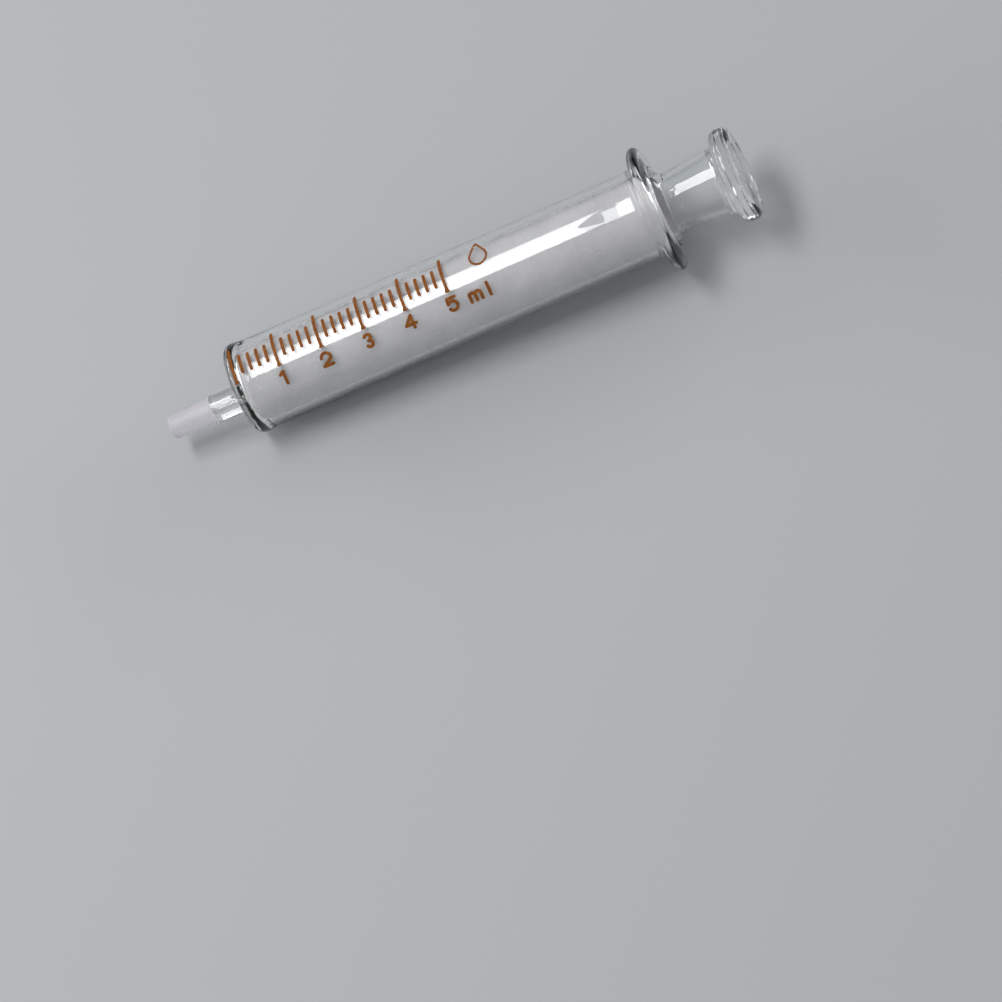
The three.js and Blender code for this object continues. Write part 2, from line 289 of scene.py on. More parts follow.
class Textures(bpy.types.PropertyGroup):
    """Grain and relief of the materials: how far apart the marks are, and how deep."""

    drawn: length("Drawn Lines", 1.1 * MM, "Spacing of the lines along the drawn tube")
    drawn_relief: length("Drawn Line Depth", 0.0002 * MM, "Depth of the lines along the drawn tube")
    ripple: length("Ripple", 2.6 * MM, "Spacing of the ripples where the glass was heated")
    ripple_relief: length("Ripple Depth", 0.02 * MM, "Depth of those ripples")
    swirl: length("Swirl", 1.4 * MM, "Spacing of the swirls in the edge of the floor")
    swirl_relief: length("Swirl Depth", 0.15 * MM, "Depth of those swirls")
    swirl_full: length("Swirl Reach", 1.5 * MM, "How far from the floor the swirls are at full depth")
    swirl_end: length("Swirl End", 3 * MM, "How far from the floor the swirls have died away")
    floor_fade: length("Floor Fade", 5 * MM, "How far up the tube the heated glass at the floor runs")
    flange_fade: length("Flange Fade", 5 * MM, "How far below the mouth the heated glass starts")
    flange_full: length("Flange Reach", 1 * MM, "How far below the mouth the glass is fully worked")
    smear: length("Smears", 5 * MM, "Size of the faint smears on clear glass")
    smear_span: span("Smear Span", (0.45, 0.8), "Noise at which a smear starts and is full")
    smear_matt: share("Smear Roughness", 0.05, "Roughness of clear glass under a full smear")
    cloud: length("Clouds", 5 * MM, "Size of the worn patches on ground glass")
    cloud_span: span("Cloud Span", (0.35, 0.7), "Noise at which a worn patch starts and is full")
    turning: length("Turning Lines", 0.35 * MM, "Spacing of the lines round the piston")
    turning_relief: length("Turning Line Depth", 0.004 * MM, "Depth of the lines round the piston")
    grit: length("Grit", 0.2 * MM, "Spacing of the pits in ground glass")
    grit_relief: length("Grit Depth", 0.02 * MM, "Depth of those pits")
    grit_span: span("Grit Span", (0.3, 0.7), "Noise from the lowest to the highest of the pits")
    grit_matt: share("Grit Contrast", 0.1, "How much rougher a pit is, and how much smoother a peak")
    scratch: length("Scratches", 0.25 * MM, "Width of the scratches in ground glass")
    scratch_span: span("Scratch Span", (0.64, 0.7), "Noise at which a scratch starts and is full")
    scratch_slant: bpy.props.FloatVectorProperty(
        name="Scratch Slant", description="Turn of the scratches out of the syringe's axes",
        default=(0.5, 0.3, 0.6), size=3, subtype="EULER",
    )
    chip: length("Specks", 0.45 * MM, "Size of the specks in ground glass")
    chip_span: span("Speck Span", (0.72, 0.76), "Noise at which a speck starts and is full")
    patch: length("Enamel Patches", 0.8 * MM, "Size of the thin places in the enamel")
    patch_span: span("Patch Span", (0.45, 0.75), "Noise at which a thin place starts and is full")
    peel: length("Orange Peel", 0.3 * MM, "Spacing of the dimples in the enamel")
    peel_relief: length("Orange Peel Depth", 0.02 * MM, "Depth of those dimples")


class StageSizes(bpy.types.PropertyGroup):
    """Camera, lights and bench."""

    azimuth: angle("Azimuth", math.radians(12.68), "Turn of the camera round the syringe")
    elevation: angle("Elevation", math.radians(54.53), "Height of the camera above the bench")
    roll: angle("Roll", math.radians(-32.7), "Turn of the camera about its own line of sight")
    distance: length("Distance", 1.2, "From the camera to the middle of the syringe")
    aim_right: length("Aim Right", 7.7 * MM, "How far right of the syringe the camera aims")
    aim_up: length("Aim Up", -34.15 * MM, "How far above the syringe the camera aims")
    lens: bpy.props.FloatProperty(
        name="Lens", description="Focal length", default=257.1, subtype="DISTANCE_CAMERA"
    )
    bench: length("Bench Size", 8.0, "Width of the bench")
    key_reach: length("Key Distance", 0.7, "From the soft box to the barrel")
    key_width: length("Key Width", 0.16, "Width of the soft box along the barrel")
    key_end: length("Key End", -0.036, "Station of the soft box's end nearer the button")
    key_spread: angle("Key Spread", math.radians(35), "Width of the soft box as the barrel sees it")
    key_lean: angle("Key Lean", math.radians(2.5), "Lean of the soft box behind the barrel")
    key_glow: glow("Key Glow", 13, "Brightness of the soft box's face, as a multiple of white")
    strip_width: length("Strip Width", 1.1, "Length of the strip lights that edge the glass")
    strip_height: length("Strip Height", 0.09, "Height of the strip lights that edge the glass")
    button_strip: point("Button Strip", (0.85, 0.3, 0.3), "Middle of the strip beyond the button")
    button_glow: glow("Button Strip Glow", 12, "Brightness of the strip beyond the button")
    nozzle_strip: point("Nozzle Strip", (-0.75, 0.25, 0.3), "Middle of the strip beyond the nozzle")
    nozzle_glow: glow("Nozzle Strip Glow", 14, "Brightness of the strip beyond the nozzle")
    flag_rise: span("Flag Rise", (0.04, 0.08), "Upward share of a direction where the cards start")
    ceiling_rise: span("Ceiling Rise", (0.15, 0.5), "Upward share where the ceiling takes over")
    front_turn: span("Front Turn", (0.1, -0.9), "Backward share where the front wall takes over")
    near: length("Near Limit", 0.01, "Nothing nearer to the camera is drawn")
    far: length("Far Limit", 100, "Nothing further from the camera is drawn")


def sizes(group):
    return getattr(bpy.context.scene, f"syringe_{group}")


# ---------------------------------------------------------------- nodes


def add(tree, kind, inputs=(), **settings):
    """Adds a node with its settings. Each input gets a value, or a link from a node or a socket."""
    node = tree.nodes.new(kind)
    for name, value in settings.items():
        setattr(node, name, value)
    for key, value in dict(inputs).items():
        source = value.outputs[0] if isinstance(value, bpy.types.Node) else value
        if isinstance(source, bpy.types.NodeSocket):
            tree.links.new(source, node.inputs[key])
        else:
            node.inputs[key].default_value = source
    return node


def new_tree(name, inputs):
    """A geometry tree with a geometry in and out, and the named inputs."""
    tree = bpy.data.node_groups.new(name, "GeometryNodeTree")
    tree.interface.new_socket("Geometry", in_out="INPUT", socket_type="NodeSocketGeometry")
    for label, kind in inputs.items():
        tree.interface.new_socket(label, in_out="INPUT", socket_type=f"NodeSocket{kind}")
    tree.interface.new_socket("Geometry", in_out="OUTPUT", socket_type="NodeSocketGeometry")
    return tree


def finish_tree(tree, geometry, material):
    """Ends a tree: real geometry, with its material set."""
    real = add(tree, "GeometryNodeRealizeInstances", {0: geometry})
    painted = add(tree, "GeometryNodeSetMaterial", {"Geometry": real, "Material": material})
    add(tree, "NodeGroupOutput", {0: painted})


def grown(name, mesh, tree, values):
    """An object whose mesh is what the tree makes of the given one."""
    thing = bpy.data.objects.new(name, mesh)
    bpy.context.scene.collection.objects.link(thing)
    modifier = thing.modifiers.new("Grown", "NODES")
    modifier.node_group = tree
    for item in tree.interface.items_tree:
        if item.item_type == "SOCKET" and item.in_out == "INPUT" and item.name in values:
            modifier[item.identifier] = values[item.name]
    graph = bpy.context.evaluated_depsgraph_get()
    made = bpy.data.meshes.new_from_object(thing.evaluated_get(graph), depsgraph=graph)
    thing.modifiers.clear()
    thing.data = made
    made.name = name
    return thing


def round_axis(tree, station, radius, turn):
    """A place by its station, its distance from the syringe's axis and its turn round it."""
    sine = add(tree, MATH, {0: turn}, operation="SINE")
    cosine = add(tree, MATH, {0: turn}, operation="COSINE")
    side = add(tree, MATH, {0: radius, 1: sine}, operation="MULTIPLY")
    height = add(tree, MATH, {0: radius, 1: cosine}, operation="MULTIPLY")
    return add(tree, "ShaderNodeCombineXYZ", {"X": station, "Y": side, "Z": height})


def turned_tree():
    """Turns an outline round the syringe's axis. A point of the outline is its distance from the
    axis, its station, and how far its ring is shifted towards the nozzle's own axis."""
    tree = new_tree(
        "Turned Glass",
        {"Sides": "Int", "Closed": "Int", "Shift": "Vector", "Weld": "Float", "Material": "Material"},
    )
    given = add(tree, "NodeGroupInput")
    size = add(tree, "GeometryNodeAttributeDomainSize", {0: given.outputs["Geometry"]})
    columns = add(tree, MATH, {0: given.outputs["Sides"], 1: 1.0}, operation="ADD")
    rows = add(tree, MATH, {0: size, 1: given.outputs["Closed"]}, operation="ADD")
    grid = add(
        tree, "GeometryNodeMeshGrid",
        {"Size X": 1.0, "Size Y": 1.0, "Vertices X": columns, "Vertices Y": rows},
    )
    cell = add(tree, "ShaderNodeSeparateXYZ", {0: add(tree, "GeometryNodeInputPosition")})
    part_round = add(tree, MATH, {0: cell.outputs["X"], 1: 0.5}, operation="ADD")
    turn = add(tree, MATH, {0: part_round, 1: 2 * math.pi}, operation="MULTIPLY")
    part_along = add(tree, MATH, {0: cell.outputs["Y"], 1: 0.5}, operation="ADD")
    steps = add(tree, MATH, {0: rows, 1: 1.0}, operation="SUBTRACT")
    row = add(tree, MATH, {0: part_along, 1: steps}, operation="MULTIPLY")
    whole = add(tree, MATH, {0: row}, operation="ROUND")
    wrapped = add(tree, MATH, {0: whole, 1: size}, operation="MODULO")
    sampled = add(
        tree, "GeometryNodeSampleIndex",
        {"Geometry": given.outputs["Geometry"], "Value": add(tree, "GeometryNodeInputPosition"),
         "Index": wrapped},
        data_type="FLOAT_VECTOR", domain="POINT",
    )
    outline = add(tree, "ShaderNodeSeparateXYZ", {0: sampled}).outputs
    ring = round_axis(tree, outline["Y"], outline["X"], turn)
    shift = add(
        tree, "ShaderNodeVectorMath", {0: given.outputs["Shift"], "Scale": outline["Z"]},
        operation="SCALE",
    )
    moved = add(tree, "ShaderNodeVectorMath", {0: ring, 1: shift}, operation="ADD")
    bent = add(tree, "GeometryNodeSetPosition", {"Geometry": grid, "Position": moved})
    welded = add(
        tree, "GeometryNodeMergeByDistance", {"Geometry": bent, "Distance": given.outputs["Weld"]}
    )
    smooth = add(tree, "GeometryNodeSetShadeSmooth", {"Geometry": welded})
    finish_tree(tree, smooth, given.outputs["Material"])
    return tree


def numbered_strips(tree, given):
    """A box for every line of the scale. Returns them with each point's line number and with its
    place in its own box."""
    strip = add(
        tree, "GeometryNodeMeshCube",
        {"Size": (1, 1, 1), "Vertices X": 2, "Vertices Y": LINE_POINTS, "Vertices Z": 2},
    )
    local = add(tree, "GeometryNodeInputPosition")
    kept = add(
        tree, "GeometryNodeStoreNamedAttribute",
        {"Geometry": strip, "Name": "strip", "Value": local}, data_type="FLOAT_VECTOR", domain="POINT",
    )
    row = add(tree, "GeometryNodeMeshLine", {"Count": given["Lines"], "Offset": (1, 0, 0)})
    numbered = add(
        tree, "GeometryNodeStoreNamedAttribute",
        {"Geometry": row, "Name": "line", "Value": add(tree, "GeometryNodeInputIndex")},
        data_type="INT", domain="POINT",
    )
    copies = add(tree, "GeometryNodeInstanceOnPoints", {"Points": numbered, "Instance": kept})
    real = add(tree, "GeometryNodeRealizeInstances", {0: copies})
    line = add(tree, "GeometryNodeInputNamedAttribute", {"Name": "line"}, data_type="INT")
    stored = add(tree, "GeometryNodeInputNamedAttribute", {"Name": "strip"}, data_type="FLOAT_VECTOR")
    return real, line, add(tree, "ShaderNodeSeparateXYZ", {0: stored}).outputs


def round_ended(tree, given, reach, back, run):
    """Width along a line that ends in half a circle either way. It takes the line's length as its
    run, and how far a point lies from either end as a part of that length."""
    nearer = add(tree, MATH, {0: reach, 1: back}, operation="MINIMUM")
    inset = add(tree, MATH, {0: nearer, 1: run}, operation="MULTIPLY")
    half = add(tree, MATH, {0: given["Width"], 1: 0.5}, operation="MULTIPLY")
    ratio = add(tree, MATH, {0: inset, 1: half}, operation="DIVIDE")
    lack = add(tree, MATH, {0: 1.0, 1: ratio}, operation="SUBTRACT", use_clamp=True)
    square = add(tree, MATH, {0: lack, 1: lack}, operation="MULTIPLY")
    left = add(tree, MATH, {0: 1.0, 1: square}, operation="SUBTRACT")
    root = add(tree, MATH, {0: left}, operation="SQRT")
    limited = add(tree, MATH, {0: root, 1: given["Narrowest"]}, operation="MAXIMUM")
    return add(tree, MATH, {0: limited, 1: given["Width"]}, operation="MULTIPLY")


def swollen_skin(tree, given, station, layer):
    """Distance of the enamel from the axis. It follows the swollen rim of the floor, and its layer
    runs from the glass to the outside of the enamel."""
    up_swell = add(
        tree, MATH, {0: station, 1: given["Swell Length"]}, operation="DIVIDE", use_clamp=True
    )
    half_wave = add(tree, MATH, {0: up_swell, 1: math.pi}, operation="MULTIPLY")
    wave = add(tree, MATH, {0: half_wave}, operation="COSINE")
    fall = add(tree, "ShaderNodeMapRange", {"Value": wave, "From Min": -1.0, "From Max": 1.0})
    rise = add(tree, MATH, {0: fall, 1: given["Swell"]}, operation="MULTIPLY")
    outward = add(tree, MATH, {0: layer, 1: 0.5}, operation="ADD")
    skin = add(tree, "ShaderNodeMix", {"Factor": outward, "A": given["Inner"], "B": given["Outer"]})
    return add(tree, MATH, {0: skin, 1: rise}, operation="ADD")


def scale_tree():
    """Lines of a scale, bent round the barrel, with round ends."""
    tree = new_tree(
        "Scale Lines",
        {"Lines": "Int", "Lines in a Number": "Int", "Pitch": "Float", "Width": "Float",
         "Inner": "Float", "Outer": "Float", "Swell": "Float", "Swell Length": "Float",
         "Long From": "Float", "Long To": "Float", "Short From": "Float", "Short To": "Float",
         "Narrowest": "Float", "Dot": "Float", "Dot Swell": "Float", "Material": "Material"},
    )
    given = add(tree, "NodeGroupInput").outputs
    strips, line, own = numbered_strips(tree, given)

    # Steps along the line are close together at its ends, where it is rounded.
    even = add(tree, MATH, {0: own["Y"], 1: 0.5}, operation="ADD")
    half_turn = add(tree, MATH, {0: even, 1: math.pi}, operation="MULTIPLY")
    cosine = add(tree, MATH, {0: half_turn}, operation="COSINE")
    reach = add(tree, "ShaderNodeMapRange", {"Value": cosine, "From Min": 1.0, "From Max": -1.0})

    rest = add(tree, MATH, {0: line, 1: given["Lines in a Number"]}, operation="MODULO")
    is_long = add(tree, MATH, {0: rest, 1: 0.5}, operation="LESS_THAN")
    start = add(
        tree, "ShaderNodeMix", {"Factor": is_long, "A": given["Short From"], "B": given["Long From"]}
    )
    end = add(
        tree, "ShaderNodeMix", {"Factor": is_long, "A": given["Short To"], "B": given["Long To"]}
    )
    turn = add(tree, "ShaderNodeMix", {"Factor": reach, "A": start, "B": end})
    sweep = add(tree, MATH, {0: end, 1: start}, operation="SUBTRACT")
    run = add(tree, MATH, {0: sweep, 1: given["Outer"]}, operation="MULTIPLY")
    back = add(tree, MATH, {0: 1.0, 1: reach}, operation="SUBTRACT")
    narrow = round_ended(tree, given, reach, back, run)

    # A long line thickens to a dot at its end by the figure.
    from_figure = add(tree, MATH, {0: back, 1: run}, operation="MULTIPLY")
    near_figure = add(
        tree, "ShaderNodeMapRange",
        {"Value": from_figure, "From Min": given["Dot"], "From Max": 0.0, "To Max": given["Dot Swell"]},
        interpolation_type="SMOOTHSTEP",
    )
    swollen = add(tree, MATH, {0: near_figure, 1: is_long, 2: 1.0}, operation="MULTIPLY_ADD")
    wide = add(tree, MATH, {0: narrow, 1: swollen}, operation="MULTIPLY")
    across = add(tree, MATH, {0: own["X"], 1: wide}, operation="MULTIPLY")
    station = add(tree, MATH, {0: line, 1: given["Pitch"], 2: across}, operation="MULTIPLY_ADD")
    radius = swollen_skin(tree, given, station, own["Z"])
    forward = add(tree, MATH, {0: turn, 1: -1.0}, operation="MULTIPLY")
    bent = add(
        tree, "GeometryNodeSetPosition",
        {"Geometry": strips, "Position": round_axis(tree, station, radius, forward)},
    )
    finish_tree(tree, bent, given["Material"])
    return tree


# ---------------------------------------------------------------- outlines


def arc(radius, station, size, start, end, steps=ARC_STEPS, shift=0, stretch=1):
    """Points on an arc round (radius, station). Angles in degrees, 0 pointing away from the axis."""
    points = []
    for step in range(steps + 1):
        turn = math.radians(start + (end - start) * step / steps)
        points.append((radius + size * math.cos(turn), station + size * stretch * math.sin(turn), shift))
    return points


def eased(start, end, steps=12, shift=0):
    """Points from one (radius, station) to another, along the axis at both ends."""
    points = []
    for step in range(steps + 1):
        part = step / steps
        rise = (1 - math.cos(math.pi * part)) / 2
        radius = start[0] + (end[0] - start[0]) * rise
        points.append((radius, start[1] + (end[1] - start[1]) * part, shift))
    return points


def dipped(start, end, steps=SLOPE_STEPS):
    """Points from one (radius, station) to another, across the axis at both ends."""
    swapped = eased(start[::-1], end[::-1], steps)
    return [(radius, station, shift) for station, radius, shift in swapped]


def straight(radius, start, end):
    """Points along a cylinder, from one station to another."""
    parts = [step / SLOPE_STEPS for step in range(SLOPE_STEPS + 1)]
    return [(radius, start + (end - start) * part, 0) for part in parts]


def turned(name, outline, closed, shift, finish):
    """A piece of glass turned from its outline, in place in the frame."""
    points = []
    closest = sizes("barrel").film / 2
    for corner in outline:
        if not points or (Vector(corner) - Vector(points[-1])).length > closest:
            points.append(corner)
    mesh = bpy.data.meshes.new(name)
    mesh.from_pydata(points, [], [])
    piece = grown(name, mesh, turned_tree(), {
        "Sides": sizes("barrel").sides,
        "Closed": int(closed),
        "Shift": shift,
        "Weld": sizes("barrel").weld,
        "Material": finish,
    })
    place(piece)
    return piece


def place(piece):
    """Moves a piece's mesh from the syringe's axes to the frame's, with its faces outwards."""
    mesh = piece.data
    mesh.transform(PLACE)
    work = bmesh.new()
    work.from_mesh(mesh)
    if work.calc_volume(signed=True) < 0:
        bmesh.ops.reverse_faces(work, faces=work.faces)
    work.to_mesh(mesh)
    work.free()
    mesh.shade_smooth()
    mesh.set_sharp_from_angle(angle=CREASE)


# ---------------------------------------------------------------- materials


def new_material(name):
    material = bpy.data.materials.new(name)
    material.use_nodes = True
    material.node_tree.nodes.clear()
    return material, material.node_tree


def own_axes(tree):
    """Object coordinates turned and moved to the syringe's own axes."""
    coordinates = add(tree, "ShaderNodeTexCoord")
    return add(
        tree, "ShaderNodeMapping",
        {"Vector": coordinates.outputs["Object"], "Location": PLACE.translation,
         "Rotation": PLACE.to_euler()},
        vector_type="TEXTURE",
    )


def pattern(tree, axes, grain, stretch=(1, 1, 1), detail=2.0):
    """Noise with lumps of the size of the grain, drawn out along the stretched axes."""
    scaled = add(tree, "ShaderNodeMapping", {"Vector": axes, "Scale": [1 / s for s in stretch]})
    return add(tree, "ShaderNodeTexNoise", {"Vector": scaled, "Scale": 1 / grain, "Detail": detail})


def layered(tree, tone, layers, **settings):
    """A colour with others laid over it. A layer is a value, the span in which the layer comes up,
    and its colour."""
    for value, (start, full), over in layers:
        there = add(
            tree, "ShaderNodeMapRange", {"Value": value, "From Min": start, "From Max": full}, **settings
        )
        mixed = add(tree, "ShaderNodeMix", {"Factor": there, "A": tone, "B": over}, data_type="RGBA")
        tone = mixed.outputs["Result"]
    return tone


def raised(tree, *layers):
    """The relief of a surface. A layer is a pattern and its depth."""
    relief = {}
    for height, depth in layers:
        inputs = {"Strength": 1.0, "Distance": depth, "Height": height, **relief}
        relief = {"Normal": add(tree, "ShaderNodeBump", inputs)}
    return relief["Normal"]


def paint(tree, looks):
    """Ends a material with one shader, which has these looks."""
    shader = add(tree, "ShaderNodeBsdfPrincipled", looks)
    add(tree, "ShaderNodeOutputMaterial", {"Surface": shader})


def worked_ends(tree, station):
    """How much the flame has worked the glass: fully at the floor and from the flange on, and
    not at all along the drawn tube between them."""
    size = sizes("textures")
    floor = add(
        tree, "ShaderNodeMapRange",
        {"Value": station, "From Min": 0.0, "From Max": size.floor_fade, "To Min": 1.0, "To Max": 0.0},
        interpolation_type="SMOOTHSTEP",
    )
    flange = add(
        tree, "ShaderNodeMapRange",
        {"Value": station, "From Min": MOUTH.x - size.flange_fade,
         "From Max": MOUTH.x - size.flange_full},
        interpolation_type="SMOOTHSTEP",
    )
    return add(tree, MATH, {0: floor, 1: flange}, operation="MAXIMUM")


def swirled_floor(tree, axes, station):
    """Swirls in the thick edge of the floor, where the tube was melted shut."""
    size = sizes("textures")
    near_floor = add(
        tree, "ShaderNodeMapRange",
        {"Value": add(tree, MATH, {0: station}, operation="ABSOLUTE"),
         "From Min": size.swirl_end, "From Max": size.swirl_full},
        interpolation_type="SMOOTHSTEP",
    )
    swirl = pattern(tree, axes, size.swirl, stretch=(1, 1.8, 1.8), detail=1.0)
    return add(tree, MATH, {0: swirl, 1: near_floor}, operation="MULTIPLY")


def flame_worked_glass():
    """Borosilicate glass, drawn as a tube and worked in a flame. Clear and nearly colourless: faint
    lines along the drawn tube, and slow ripples where it was heated, which bend what lies behind."""
    material, tree = new_material("flame_worked_glass")
    axes = own_axes(tree)
    station = add(tree, "ShaderNodeSeparateXYZ", {0: axes}).outputs["X"]
    size = sizes("textures")
    drawn = pattern(tree, axes, size.drawn, stretch=(60, 1, 1))
    ripple = pattern(tree, axes, size.ripple, stretch=(1, 1.6, 1.6), detail=1.0)
    worked = add(tree, MATH, {0: ripple, 1: worked_ends(tree, station)}, operation="MULTIPLY")
    swirl = swirled_floor(tree, axes, station)
    relief = raised(
        tree, (drawn, size.drawn_relief), (worked, size.ripple_relief), (swirl, size.swirl_relief)
    )
    smears = pattern(tree, axes, size.smear, detail=4.0)
    roughness = add(
        tree, "ShaderNodeMapRange",
        {"Value": smears, "From Min": size.smear_span[0], "From Max": size.smear_span[1],
         "To Min": 0.0, "To Max": size.smear_matt},
    )
    paint(tree, {
        "Base Color": sizes("finishes").clear, "Roughness": roughness, "IOR": GLASS_IOR,
        "Transmission Weight": 1.0, "Normal": relief,
    })
    return material


def ground_glass(name, clearness, roughness):
    """Borosilicate glass ground with fine grit. Satin white, because every pit scatters light: a
    fine sparkle, faint lines round the piston from its turning, and a cloudy wear."""
    material, tree = new_material(name)
    axes = own_axes(tree)
    size = sizes("textures")
    tint = sizes("finishes")
    clouds = pattern(tree, axes, size.cloud, detail=5.0)
    rings = pattern(tree, axes, size.turning, stretch=(1, 40, 40))
    # Real grit leaves pits of 0.02 mm. They are drawn ten times as coarse, so that they show.
    grit = pattern(tree, axes, size.grit, detail=3.0)
    slanted = add(tree, "ShaderNodeMapping", {"Vector": axes, "Rotation": size.scratch_slant})
    scratches = pattern(tree, slanted, size.scratch, stretch=(40, 1, 1))
    specks = pattern(tree, axes, size.chip, detail=1.0)
    tone = layered(tree, tint.ground, (
        (clouds, size.cloud_span, tint.ground_dim),
        (scratches, size.scratch_span, tint.scratch),
        (specks, size.chip_span, tint.scratch),
    ))
    matt = add(
        tree, "ShaderNodeMapRange",
        {"Value": grit, "From Min": size.grit_span[0], "From Max": size.grit_span[1],
         "To Min": roughness + size.grit_matt, "To Max": roughness - size.grit_matt},
    )
    paint(tree, {
        "Base Color": tone, "Roughness": matt, "IOR": GLASS_IOR, "Transmission Weight": clearness,
        "Normal": raised(tree, (rings, size.turning_relief), (grit, size.grit_relief)),
    })
    return material


def fired_enamel():
    """Glass enamel, printed and fired at a dull red heat. Amber-brown and half glossy, a little
    lighter where it went on thin, with a slight orange-peel surface."""
    material, tree = new_material("fired_enamel")
    axes = own_axes(tree)
    size = sizes("textures")
    tint = sizes("finishes")
    patches = pattern(tree, axes, size.patch, detail=3.0)
    peel = pattern(tree, axes, size.peel)
    paint(tree, {
        "Base Color": layered(tree, tint.enamel, [(patches, size.patch_span, tint.enamel_thin)]),
        "Roughness": 0.6, "IOR": 1.5, "Specular IOR Level": 0.2,
        "Normal": raised(tree, (peel, size.peel_relief)),
    })
    return material


def matt_laminate():
    """Matt laminate. Plain and pale, with no pattern to be seen."""
    material, tree = new_material("matt_laminate")
    paint(tree, {"Base Color": sizes("finishes").bench, "Roughness": 0.7, "Specular IOR Level": 0.2})
    return material


MAKERS = {
    "flame_worked_glass": flame_worked_glass,
    "ground_piston_glass": lambda: ground_glass("ground_piston_glass", 0.2, 0.65),
    "ground_cone_glass": lambda: ground_glass("ground_cone_glass", 0.7, 0.45),
    "fired_enamel": fired_enamel,
    "matt_laminate": matt_laminate,
}


def finish_named(name):
    """The material of that name, made the first time that it is asked for."""
    return bpy.data.materials.get(name) or MAKERS[name]()


# ---------------------------------------------------------------- pieces


class SYRINGE_OT_barrel(bpy.types.Operator):
    """Makes the barrel: drawn tube, floor, clear neck and finger flange, all one piece of glass"""

    bl_idname = "syringe.barrel"
    bl_label = "Barrel"

    def execute(self, context):
        size = sizes("barrel")
        bore = TUBE["inner"]
        tube = TUBE["outer"]
        base = BASE["outer"]
        flange = FLANGE["outer"]
        floor = -BASE["first"]
        neck = CONE["outer"]
        channel = CONE["inner"]
        mouth = MOUTH.x
        seam = CONE_SEAM + size.film / 2
        grip = mouth - size.flange_thickness
        rim = size.flange_thickness / 2
        bend = grip - size.fillet
        wide = tube + size.flare_rise
        flare = mouth - size.flare
        lip = FLANGE["last"] - mouth
        lip_half = size.lip_width / 2

        outline = [(neck, seam, 1)]
        outline += arc(neck + size.foot, -floor - size.foot, size.foot, 180, 90, shift=1)
        outline += arc(base - floor, 0, floor, -90, 0)
        outline += eased((base, 0), (tube, size.swell))
        outline += straight(tube, size.swell, flare)
        for step in range(1, SLOPE_STEPS + 1):
            part = step / SLOPE_STEPS
            outline.append((tube + size.flare_rise * part ** 2, flare + (bend - flare) * part, 0))
        outline += arc(wide + size.fillet, bend, size.fillet, 180, 90)
        outline += arc(flange - rim, grip + rim, rim, -90, 90, steps=20)
        groove = (flange - 2 * rim, mouth - size.groove)
        outline += dipped((flange - rim, mouth), groove)
        outline += dipped(groove, (bore + 2 * lip_half, mouth), 12)
        outline += arc(bore + lip_half, mouth, lip_half, 0, 180, steps=12, stretch=lip / lip_half)
        outline += straight(bore, mouth, size.corner)
        outline += arc(bore - size.corner, size.corner, size.corner, 0, -90)
        outline += [(channel, 0, 1), (channel, seam, 1)]

        piece = turned("barrel_glass", outline, True, CONE["middle"], finish_named("flame_worked_glass"))
        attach(piece, "barrel")
        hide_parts("barrel_base", "barrel_tube", "finger_flange", "nozzle_neck")
        return {"FINISHED"}


class SYRINGE_OT_nozzle(bpy.types.Operator):
    """Makes the ground cone at the end of the nozzle"""

    bl_idname = "syringe.nozzle"
    bl_label = "Nozzle Cone"

    def execute(self, context):
        size = sizes("barrel")
        seam = CONE_SEAM - size.film / 2
        tip = CONE["first"]
        end = size.tip / 2
        large = end + size.taper * (seam - tip) / 2
        neck = CONE["outer"]
        channel = CONE["inner"]
        shoulder = 2 * (neck - large)

        outline = eased((neck, seam), (large, seam - shoulder), SLOPE_STEPS, shift=1)
        outline += arc(end - size.tip_round, tip + size.tip_round, size.tip_round, 0, -90, shift=1)
        opening = size.channel_round
        outline += arc(channel + opening, tip + opening, opening, -90, -180, steps=4, shift=1)
        outline += [(channel, seam, 1)]
        finish = finish_named("ground_cone_glass")
        piece = turned("nozzle_cone_glass", outline, True, CONE["middle"], finish)
        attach(piece, "barrel")
        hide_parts("nozzle_cone")
        return {"FINISHED"}


class SYRINGE_OT_piston(bpy.types.Operator):
    """Makes the hollow piston, ground on the outside and closed in front"""

    bl_idname = "syringe.piston"
    bl_label = "Piston"

    def execute(self, context):
        size = sizes("plunger")
        front = PISTON["first"]
        back = PISTON_SEAM - sizes("barrel").film / 2
        outer = PISTON["outer"]
        inner = outer - size.wall
        corner = size.corner
        hollow = front + size.wall

        outline = [(0, front, 0)]
        outline += arc(outer - corner, front + corner, corner, -90, 0)
        outline += straight(outer, front + corner, back)
        outline += straight(inner, back, hollow + corner)
        outline += arc(inner - corner, hollow + corner, corner, 0, -90)
        outline += [(0, hollow, 0)]
        piece = turned("piston_glass", outline, False, (0, 0, 0), finish_named("ground_piston_glass"))
        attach(piece, "plunger")
        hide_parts("piston_tube")
        return {"FINISHED"}


